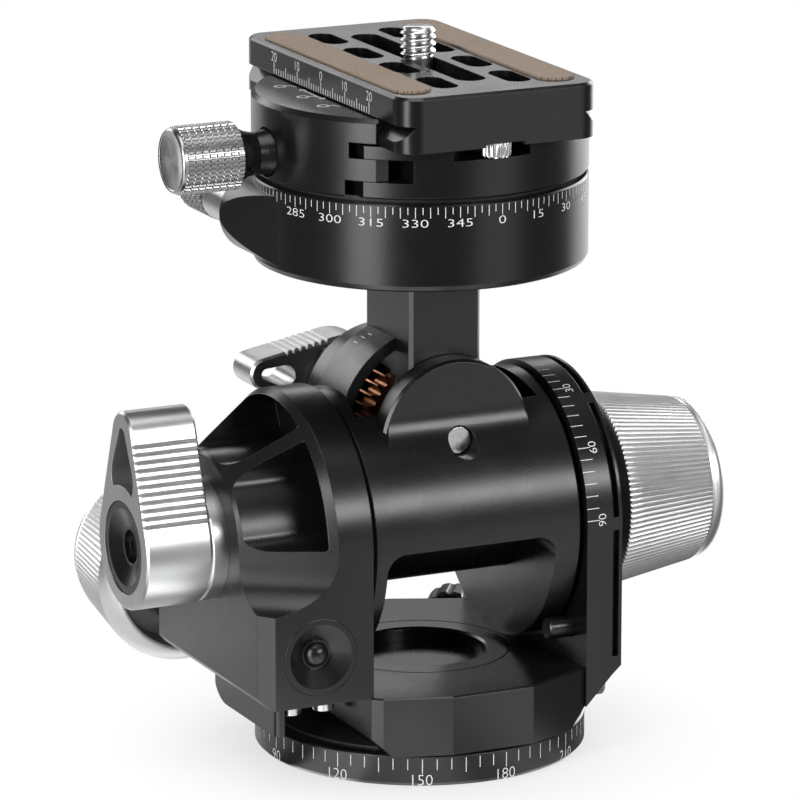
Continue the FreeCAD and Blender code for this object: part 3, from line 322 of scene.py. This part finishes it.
def sharpen(piece, degrees=32):
    """Keep edges sharper than this angle crisp under smooth shading."""
    bpy.context.view_layer.objects.active = piece
    piece.select_set(True)
    bpy.ops.object.shade_smooth_by_angle(angle=math.radians(degrees))
    piece.select_set(False)


# ---- knurled knobs --------------------------------------------------------------------------
def straight_knurl(name, axis, centre, profile, knurled, teeth, depth, body, node):
    """Turned knob with straight knurling between two places on its axis.
    The profile is (along, radius) from the inner end to the outer one, and closes on the axis."""
    columns = teeth * 4
    low, high = knurled
    tooth = (0.0, 0.75, 1.0, 0.75)

    def radius_of(row, column):
        along, radius = profile[row]
        if low <= along <= high:
            return radius - depth * tooth[column % 4]
        return radius

    points, faces = lathe_rows(axis, centre, [along for along, _ in profile], columns, radius_of)
    main = Vector(AXES[axis][0])
    close_end(points, faces, 0, columns, Vector(centre) + main * profile[0][0], False)
    close_end(points, faces, (len(profile) - 1) * columns, columns,
              Vector(centre) + main * profile[-1][0], True)
    piece = make_piece(name, points, faces, KNOB_SILVER, body, True, [node])
    sharpen(piece)


def taper(start, end, steps):
    """Evenly spaced profile points from one (along, radius) to another, both included."""
    return [(start[0] + (end[0] - start[0]) * k / steps, start[1] + (end[1] - start[1]) * k / steps)
            for k in range(steps + 1)]


def knob_2():
    profile = [(33.3, 3.2), (33.3, 17.0), (33.32, 17.4), (33.6, 17.9)]
    profile += taper((33.75, 18.2), (51.9, 15.25), 6)
    profile += [(52.0, 14.75), (52.2, 14.6), (52.6, 14.6), (52.8, 14.85), (53.3, 14.95),
                (54.0, 14.75), (54.6, 14.3), (54.95, 13.7), (55.0, 13.2), (54.7, 12.9), (54.6, 9.1)]
    straight_knurl("knob_2_knurled", "X", (0, 0, TILT_Z), profile, (33.7, 51.95), 118, 0.3,
                   "roll_worm", "knob_2")


def knob_1():
    centre = (WORM_1[0], 0, WORM_1[1])
    profile = [(39.4, 3.2), (39.4, 13.0), (39.3, 13.3), (33.0, 13.4), (32.6, 13.7), (32.5, 14.2),
               (32.7, 14.9), (33.2, 15.5), (34.2, 16.2), (35.2, 16.7), (35.7, 16.9)]
    profile += taper((35.9, 17.0), (52.3, 14.75), 6)
    profile += [(52.5, 14.3), (52.7, 14.1), (53.1, 14.1), (53.3, 14.3), (53.8, 14.3),
                (54.3, 13.9), (54.5, 13.4), (54.3, 13.1), (54.2, 8.1)]
    straight_knurl("knob_1_knurled", "Y", centre, profile, (35.8, 52.35), 108, 0.3,
                   "tilt_worm", "knob_1")


def cross_knurl(name, axis, centre, low, high, radius_low, radius_high, cuts, slope, depth, body,
                nodes, ends):
    """Diamond knurling from two sets of crossing grooves."""
    columns = cuts * 8
    rows = [low + (high - low) * k / 56 for k in range(57)]
    profile = [(along, radius_low + (radius_high - radius_low) * k / 56)
               for k, along in enumerate(rows)]
    all_rows = [p[0] for p in ends[0]] + rows + [p[0] for p in ends[1]]
    radii = [p[1] for p in ends[0]] + [p[1] for p in profile] + [p[1] for p in ends[1]]
    first = len(ends[0])

    def radius_of(row, column):
        if not first <= row < first + len(rows):
            return radii[row]
        turn = column / 8
        shift = slope * (all_rows[row] - low)
        grooves = [abs((turn + sign * shift) % 1.0 - 0.5) * 2 for sign in (-1, 1)]
        return radii[row] - depth * min(1.0, max(0.0, (max(grooves) - 0.45) / 0.45))

    points, faces = lathe_rows(axis, centre, all_rows, columns, radius_of)
    main = Vector(AXES[axis][0])
    close_end(points, faces, 0, columns, Vector(centre) + main * all_rows[0], False)
    close_end(points, faces, (len(all_rows) - 1) * columns, columns,
              Vector(centre) + main * all_rows[-1], True)
    piece = make_piece(name, points, faces, SLEEVE_SILVER, body, True, nodes)
    sharpen(piece, 28)


def knob_3():
    ends = ([(13.6, 1.7), (13.6, 4.4), (13.8, 4.6), (27.0, 4.6), (27.1, 4.3), (27.4, 4.3)],
            [(37.55, 4.6), (37.8, 4.55), (38.1, 4.3), (38.28, 3.8), (38.3, 2.0)])
    cross_knurl("knob_3_knurled", "Y", (WORM_3[0], 0, WORM_3[1]), 27.5, 37.5, 4.7, 4.7, 26, 1.0,
                0.26, "pan_worm", ["knob_3"], ends)


def clamp_sleeve():
    """Sleeve covered with small rectangular pads, and its brushed end face."""
    centre = (0, 0, CLAMP_Z)
    pads = 44
    bands = 8
    low, high = -47.35, -36.45
    pitch = (high - low) / bands
    depth = 0.32
    rows = [(-48.15, 5.25, 0), (-48.2, 5.4, 0), (-48.1, 5.6, 0), (-47.9, 5.75, 0), (-47.5, 5.8, 0)]
    for band in range(bands):
        start = low + band * pitch
        rows += [(start + 0.1, 6.08 - depth, 0), (start + 0.26, 6.08, 1),
                 (start + pitch - 0.12, 6.08, 1), (start + pitch - 0.02, 6.08 - depth, 0)]
    rows += [(-36.42, 5.3, 0), (-36.4, 4.0, 0)]
    tooth = (0.0, 0.0, 0.0, 1.0, 1.0)
    columns = pads * 5

    def radius_of(row, column):
        if rows[row][2]:
            return rows[row][1] - depth * tooth[column % 5]
        return rows[row][1]

    points, faces = lathe_rows("X", centre, [r[0] for r in rows], columns, radius_of)
    piece = make_piece("clamp_sleeve_knurled", points, faces, SLEEVE_SILVER, "clamp_knob",
                       True, ["clamp_knob_sleeve"])
    sharpen(piece, 28)
    rings = [(-48.05, 5.3), (-47.95, 5.2), (-47.9, 5.1), (-47.9, 2.5), (-47.9, 0.02)]
    points, faces = lathe_rows("X", centre, [r[0] for r in rings], 96, lambda row, _: rings[row][1])
    faces = [face[::-1] for face in faces]
    make_piece("clamp_sleeve_face", points, faces, brushed_face(), "clamp_knob",
               True)


def brushed_face():
    """Lathe-turned face whose fine rings throw two opposite fans of light."""
    m = Nodes("turned_face")
    m.set(Metallic=1.0, Anisotropic=0.85)
    m.link(m.blend(m.noise(900, 2), (0.58, 0.58, 0.59), (0.68, 0.68, 0.69)),
           m.shader.inputs["Base Color"])
    m.link(m.spread(m.noise(1500, 2), 0.26, 0.32), m.shader.inputs["Roughness"])
    tangent = m.add("ShaderNodeTangent", direction_type="RADIAL", axis="X")
    m.link(tangent.outputs["Tangent"], m.shader.inputs["Tangent"])
    return m.material


def stop_screw_heads():
    """Bright fluted heads of the two stop screws, with their shanks."""
    for name, y in (("stop_screw_front", -29.5), ("stop_screw_rear", 31.5)):
        profile = [(113.4, 0.8), (113.4, 2.1), (113.46, 2.35), (113.62, 2.55), (113.8, 2.7),
                   (116.1, 2.7), (116.3, 2.6), (116.38, 2.3), (116.4, 1.3), (120.0, 1.3)]
        columns = 14 * 8
        tooth = (0.0, 0.05, 0.2, 0.7, 1.0, 0.7, 0.2, 0.05)

        def radius_of(row, column):
            radius = profile[row][1]
            return radius - 0.3 * tooth[column % 8] if 3 <= row <= 6 else radius

        points, faces = lathe_rows("Z", (0.4, y, 0), [p[0] for p in profile], columns, radius_of)
        close_end(points, faces, 0, columns, Vector((0.4, y, 113.9)), False)
        piece = make_piece(name, points, faces, MATERIALS["chrome"], "plate", True,
                           ["stop_screws"] if y < 0 else [])
        sharpen(piece)


def camera_screw():
    """Camera screw with a real 1.27 mm pitch thread and its head under the plate."""
    pitch = 1.27
    columns = 96
    low, high = 125.6, 131.1
    rows = [low + (high - low) * k / 120 for k in range(121)]

    def radius_of(row, column):
        z = rows[row]
        phase = ((z - low) / pitch - column / columns) % 1.0
        thread = 2.50 + 0.67 * (0.5 + 0.5 * math.cos(2 * math.pi * phase)) ** 0.8
        top = 3.175 - max(0.0, z - (high - 0.7)) * 0.95
        foot = 2.6 + max(0.0, z - low - 0.25) * 1.2
        return min(thread, top, foot)

    points, faces = lathe_rows("Z", (0, SCREW_Y, 0), rows, columns, radius_of)
    close_end(points, faces, 120 * columns, columns, Vector((0, SCREW_Y, high)), True)
    body_rows = [(117.5, 6.2), (117.8, 6.6), (120.4, 6.6), (120.4, 2.6), (low, 2.6)]
    more, more_faces = lathe_rows("Z", (0, SCREW_Y, 0), [r[0] for r in body_rows], columns,
                                  lambda row, _: body_rows[row][1])
    close_end(more, more_faces, 0, columns, Vector((0, SCREW_Y, 118.0)), False)
    faces += [tuple(index + len(points) for index in face) for face in more_faces]
    piece = make_piece("camera_screw_threaded", points + more, faces, MATERIALS["chrome"],
                       "camera_screw", True, ["camera_screw"])
    sharpen(piece, 50)


# ---- filled marks ---------------------------------------------------------------------------
class Marks:
    """Flat marks on an unrolled surface, kept as points (u right, v up) and faces."""

    def __init__(self):
        self.points = []
        self.faces = []

    def bar(self, u, v_low, v_high, width):
        start = len(self.points)
        for du, v in ((-0.5, v_low), (0.5, v_low), (0.5, v_high), (-0.5, v_high)):
            self.points.append((u + du * width, v))
        self.faces.append((start, start + 1, start + 2, start + 3))

    def stroke(self, points, width):
        """Polyline of one width."""
        for (u0, v0), (u1, v1) in zip(points, points[1:]):
            length = math.hypot(u1 - u0, v1 - v0)
            du = -(v1 - v0) / length * width / 2
            dv = (u1 - u0) / length * width / 2
            start = len(self.points)
            self.points += [(u0 - du, v0 - dv), (u1 - du, v1 - dv), (u1 + du, v1 + dv),
                            (u0 + du, v0 + dv)]
            self.faces.append((start, start + 1, start + 2, start + 3))

    def text(self, words, u, v, height, stretch=1.0):
        """Digits centred on u, standing on v."""
        outline, faces = glyphs(words)
        start = len(self.points)
        self.points += [(u + x * height * stretch, v + y * height) for x, y in outline]
        self.faces += [tuple(start + index for index in face) for face in faces]


GLYPHS = {}


def glyphs(words):
    """Mesh of some digits, one unit tall and centred; kept for reuse."""
    if words not in GLYPHS:
        curve = bpy.data.curves.new("digits", "FONT")
        curve.body = words
        curve.resolution_u = 3
        curve.offset = -0.012
        holder = bpy.data.objects.new("digits", curve)
        bpy.context.scene.collection.objects.link(holder)
        bpy.context.view_layer.update()
        mesh = bpy.data.meshes.new_from_object(holder)
        points = [(p.co.x, p.co.y) for p in mesh.vertices]
        faces = [tuple(face.vertices) for face in mesh.polygons]
        bpy.data.objects.remove(holder)
        middle = (min(p[0] for p in points) + max(p[0] for p in points)) / 2
        low = min(p[1] for p in points)
        tall = max(p[1] for p in points) - low
        GLYPHS[words] = ([((x - middle) / tall, (y - low) / tall) for x, y in points], faces)
    return GLYPHS[words]


def place_marks(name, marks, surface, body):
    """Lay marks on a surface given as a function of (u, v)."""
    points = [surface(u, v) for u, v in marks.points]
    make_piece(name, points, marks.faces, WHITE, body, False)


def round_surface(radius):
    """Side of a vertical cylinder: u in degrees counted from +X, v is the height."""
    def surface(u, v):
        return on_axis("Z", (0, 0, 0), v, radius + ENGRAVED, math.radians(u))

    return surface


def degrees(length, radius):
    """Angle of an arc of this length."""
    return math.degrees(length / radius)


def ring_digits(values, zero, radius, low, height, stretch):
    """Numbers round a vertical cylinder, each centred on its own angle of the scale."""
    marks = Marks()
    for value in values:
        start = len(marks.points)
        marks.text(str(value), 0, low, height, stretch)
        marks.points[start:] = [(value + zero + degrees(u, radius), v)
                                for u, v in marks.points[start:]]
    return marks


def base_scale():
    marks = Marks()
    for value in range(0, 360, 5):
        low = 2.45 if value % 15 == 0 else 3.1
        marks.bar(value + BASE_ZERO, low, 5.15, degrees(0.16, DISC_R))
    digits = ring_digits(range(0, 360, 30), BASE_ZERO, DISC_R, 0.28, 1.98, 1.0)
    place_marks("base_ticks", marks, round_surface(DISC_R), "base")
    place_marks("base_digits", digits, round_surface(DISC_R), "base")


def drum_scale():
    marks = Marks()
    for step in range(144):
        low = 103.1 if step % 2 == 0 else 103.75
        marks.bar(step * 2.5 + DRUM_ZERO, low, 105.0, degrees(0.13, DISC_R))
    digits = ring_digits(range(0, 360, 15), DRUM_ZERO, DISC_R, 101.5, 1.4, 1.58)
    place_marks("drum_ticks", marks, round_surface(DISC_R), "roll_arm")
    place_marks("drum_digits", digits, round_surface(DISC_R), "roll_arm")


def tilt_scale():
    """Marks on the upright's rim, counted from its top towards the front."""
    marks = Marks()
    for value in range(0, 95, 5):
        marks.bar(TILT_ZERO - value, 21.1, 23.5, degrees(0.13, RIM_R))

    def surface(u, v):
        turn = math.radians(-u)
        reach = RIM_R + ENGRAVED
        return Vector((v, -reach * math.sin(turn), TILT_Z + reach * math.cos(turn)))

    place_marks("tilt_ticks", marks, surface, "frame")
    labels = Marks()
    for value in (30, 60, 90):
        outline, faces = glyphs(str(value))
        start = len(labels.points)
        for x, y in outline:
            labels.points.append((TILT_ZERO - value + degrees(x * 1.65, RIM_R), 24.8 - y * 1.5))
        labels.faces += [tuple(start + index for index in face) for face in faces]
    place_marks("tilt_digits", labels, surface, "frame")


def arc_marks():
    """Three ticks on the roll scale arc, left of the arm."""
    marks = Marks()
    for angle, middle in ((28.05, 2.69), (31.8, 3.41), (36.6, 3.86)):
        marks.bar(-angle, middle - 0.75, middle + 0.75, degrees(0.22, ARC_R))

    def surface(u, v):
        turn = math.radians(u)
        reach = ARC_R + ENGRAVED
        return Vector((reach * math.sin(turn), v, ROLL_Z + reach * math.cos(turn)))

    place_marks("roll_marks", marks, surface, "roll_arm")


def plate_scale():
    """Millimetre scale on the plate's left side, its zero beside the camera screw."""
    marks = Marks()
    middle = 0.73
    for step in range(-20, 21):
        top = 122.75 if step % 10 == 0 else (122.5 if step % 5 == 0 else 121.75)
        marks.bar(-middle - step, 120.65, top, 0.25)
    for value in (-20, -10, 0, 10, 20):
        marks.text(str(abs(value)), -middle - value, 122.9, 1.7, 1.0)
    side = -PLATE_SIDE - ENGRAVED
    place_marks("plate_scale", marks, lambda u, v: Vector((side, -u, v)), "plate")


def jaw_marks():
    """Three small rings with lead lines and a double arrow beside the plate."""
    marks = Marks()
    for u, v in ((-22.1, 11.3), (-22.35, 1.0), (-22.5, -7.8)):
        ring = [(u + 0.95 * math.cos(math.pi * k / 10), v + 0.95 * math.sin(math.pi * k / 10))
                for k in range(21)]
        marks.stroke(ring, 0.42)
        marks.stroke([(u + 0.9, v), (u + 1.9, v - 0.2), (u + 2.4, v - 1.6)], 0.36)
    marks.stroke([(-19.9, 7.4), (-19.9, -2.6)], 0.3)
    marks.stroke([(-20.5, 6.2), (-19.9, 7.4), (-19.3, 6.2)], 0.3)
    marks.stroke([(-20.5, -1.4), (-19.9, -2.6), (-19.3, -1.4)], 0.3)
    place_marks("jaw_marks", marks, lambda u, v: Vector((u, v, CLAMP_TOP + ENGRAVED)), "jaw")


# ---- stage ----------------------------------------------------------------------------------
# Pale cards round the object that light only its reflections:
# azimuth (0 front, 90 right), half width of the full and of the faded part, strength, and
# the distance at which the card has faded out.
CARDS = ((-62, 9, 17, 2.4, 9.0), (27, 9, 20, 0.7, 9.0), (-175, 10, 22, 0.8, 9.0),
         (120, 14, 30, 1.4, 9.0), (-5, 22, 38, 0.5, 0.17), (-30, 12, 28, 1.0, 0.14),
         (-118, 20, 34, 0.6, 0.17), (-152, 14, 24, 0.4, 0.42))


def floor():
    """Floor that fades to white round the object for the camera, keeps its shadow close to it,
    and shows grey with the pale cards to reflections."""
    size = 30.0
    mesh = bpy.data.meshes.new("floor")
    mesh.from_pydata([(-size, -size, 0), (size, -size, 0), (size, size, 0), (-size, size, 0)], [],
                     [(0, 1, 2, 3)])
    plane = bpy.data.objects.new("floor", mesh)
    bpy.context.scene.collection.objects.link(plane)
    material = bpy.data.materials.new("pale_floor")
    material.use_nodes = True
    material.node_tree.nodes.clear()
    graph = Graph(material.node_tree)
    diffuse = graph.add("ShaderNodeBsdfDiffuse")
    diffuse.inputs["Color"].default_value = (0.7, 0.7, 0.7, 1)
    glow = graph.add("ShaderNodeEmission")
    glow.inputs["Color"].default_value = (1, 1, 1, 1)
    place = graph.add("ShaderNodeTexCoord").outputs["Object"]
    path = graph.add("ShaderNodeLightPath")
    distance = graph.vector("LENGTH", place).outputs["Value"]
    reflected = graph.combine("MULTIPLY", path.outputs["Is Glossy Ray"],
                              card_strength(graph, place, distance))
    graph.link(graph.combine("ADD", path.outputs["Is Camera Ray"], reflected),
               glow.inputs["Strength"])
    fade = graph.spread(distance, 0.6, 1.0, 0.015, 0.06, "SMOOTHSTEP")
    seen = graph.combine("MAXIMUM", path.outputs["Is Camera Ray"], path.outputs["Is Glossy Ray"])
    mix = graph.add("ShaderNodeMixShader")
    graph.link(graph.combine("MULTIPLY", seen, fade), mix.inputs["Fac"])
    graph.link(diffuse.outputs[0], mix.inputs[1])
    graph.link(glow.outputs[0], mix.inputs[2])
    graph.link(mix.outputs[0], graph.add("ShaderNodeOutputMaterial").inputs["Surface"])
    plane.data.materials.append(material)


def card_strength(graph, place, distance):
    """Grey of the floor in reflections, with every card added to it."""
    away = graph.vector("NORMALIZE", place).outputs["Vector"]
    total = graph.add("ShaderNodeValue").outputs[0]
    total.default_value = 0.15
    for azimuth, inner, outer, strength, reach in CARDS:
        turn = math.radians(azimuth)
        facing = graph.vector("DOT_PRODUCT", away)
        facing.inputs[1].default_value = (math.sin(turn), -math.cos(turn), 0)
        card = graph.spread(facing.outputs["Value"], 0.0, strength, math.cos(math.radians(outer)),
                            math.cos(math.radians(inner)), "SMOOTHSTEP")
        near = graph.spread(distance, 1.0, 0.0, 0.7 * reach, reach, "SMOOTHSTEP")
        total = graph.combine("ADD", total, graph.combine("MULTIPLY", card, near))
    return total


def world():
    """White behind the object for the camera, and a dark grey for all other rays."""
    sky = bpy.data.worlds.new("studio")
    bpy.context.scene.world = sky
    sky.use_nodes = True
    sky.node_tree.nodes.clear()
    graph = Graph(sky.node_tree)
    soft = graph.add("ShaderNodeBackground")
    soft.inputs["Color"].default_value = (0.07, 0.07, 0.07, 1)
    white = graph.add("ShaderNodeBackground")
    white.inputs["Color"].default_value = (1, 1, 1, 1)
    mix = graph.add("ShaderNodeMixShader")
    graph.link(graph.add("ShaderNodeLightPath").outputs["Is Camera Ray"], mix.inputs["Fac"])
    graph.link(soft.outputs[0], mix.inputs[1])
    graph.link(white.outputs[0], mix.inputs[2])
    graph.link(mix.outputs[0], graph.add("ShaderNodeOutputWorld").inputs["Surface"])


def soft_box(name, azimuth, elevation, distance, width, height, power, aim=(0, 0, 0.065)):
    """Rectangular lamp that faces the object; azimuth 0 is the front and 90 the right."""
    lamp = bpy.data.lights.new(name, "AREA")
    lamp.shape = "RECTANGLE"
    lamp.size = width
    lamp.size_y = height
    lamp.energy = power
    turn = math.radians(azimuth)
    rise = math.radians(elevation)
    way = Vector((math.sin(turn) * math.cos(rise), -math.cos(turn) * math.cos(rise), math.sin(rise)))
    holder = bpy.data.objects.new(name, lamp)
    holder.location = Vector(aim) + way * distance
    holder.rotation_euler = way.to_track_quat("Z", "Y").to_euler()
    bpy.context.scene.collection.objects.link(holder)


def lights():
    soft_box("left_strip", -62, 12, 0.75, 0.24, 0.6, 4.0)
    soft_box("front_band", 27, 21, 0.8, 0.5, 0.16, 2.6)
    soft_box("right_rear_panel", 118, 10, 0.7, 0.35, 0.7, 4.0)
    soft_box("left_rear_panel", -162, 20, 0.75, 0.3, 0.3, 1.0)
    soft_box("back_panel", 155, 21, 0.8, 0.6, 0.16, 0.6)
    soft_box("overhead", -15, 78, 0.7, 0.55, 0.55, 2.6)


def camera():
    """Long lens from the front left, a little above."""
    azimuth = math.radians(-25.4)
    elevation = 0.2506
    right = Vector((math.cos(azimuth), math.sin(azimuth), 0))
    back = Vector((math.sin(azimuth) * math.cos(elevation), -math.cos(azimuth) * math.cos(elevation),
                   math.sin(elevation)))
    up = back.cross(right)
    lens = bpy.data.cameras.new("camera")
    lens.sensor_width = 36.0
    lens.lens = 256.15
    holder = bpy.data.objects.new("camera", lens)
    place = Matrix((right, up, back)).transposed().to_4x4()
    place.translation = Vector((-427.93, -892.92, 316.56)) * MM
    holder.matrix_world = place
    bpy.context.scene.collection.objects.link(holder)
    bpy.context.scene.camera = holder


dress_nodes()
knob_1()
knob_2()
knob_3()
clamp_sleeve()
stop_screw_heads()
camera_screw()
base_scale()
drum_scale()
tilt_scale()
arc_marks()
plate_scale()
jaw_marks()
floor()
world()
lights()
camera()
bpy.context.scene.view_settings.view_transform = "Standard"
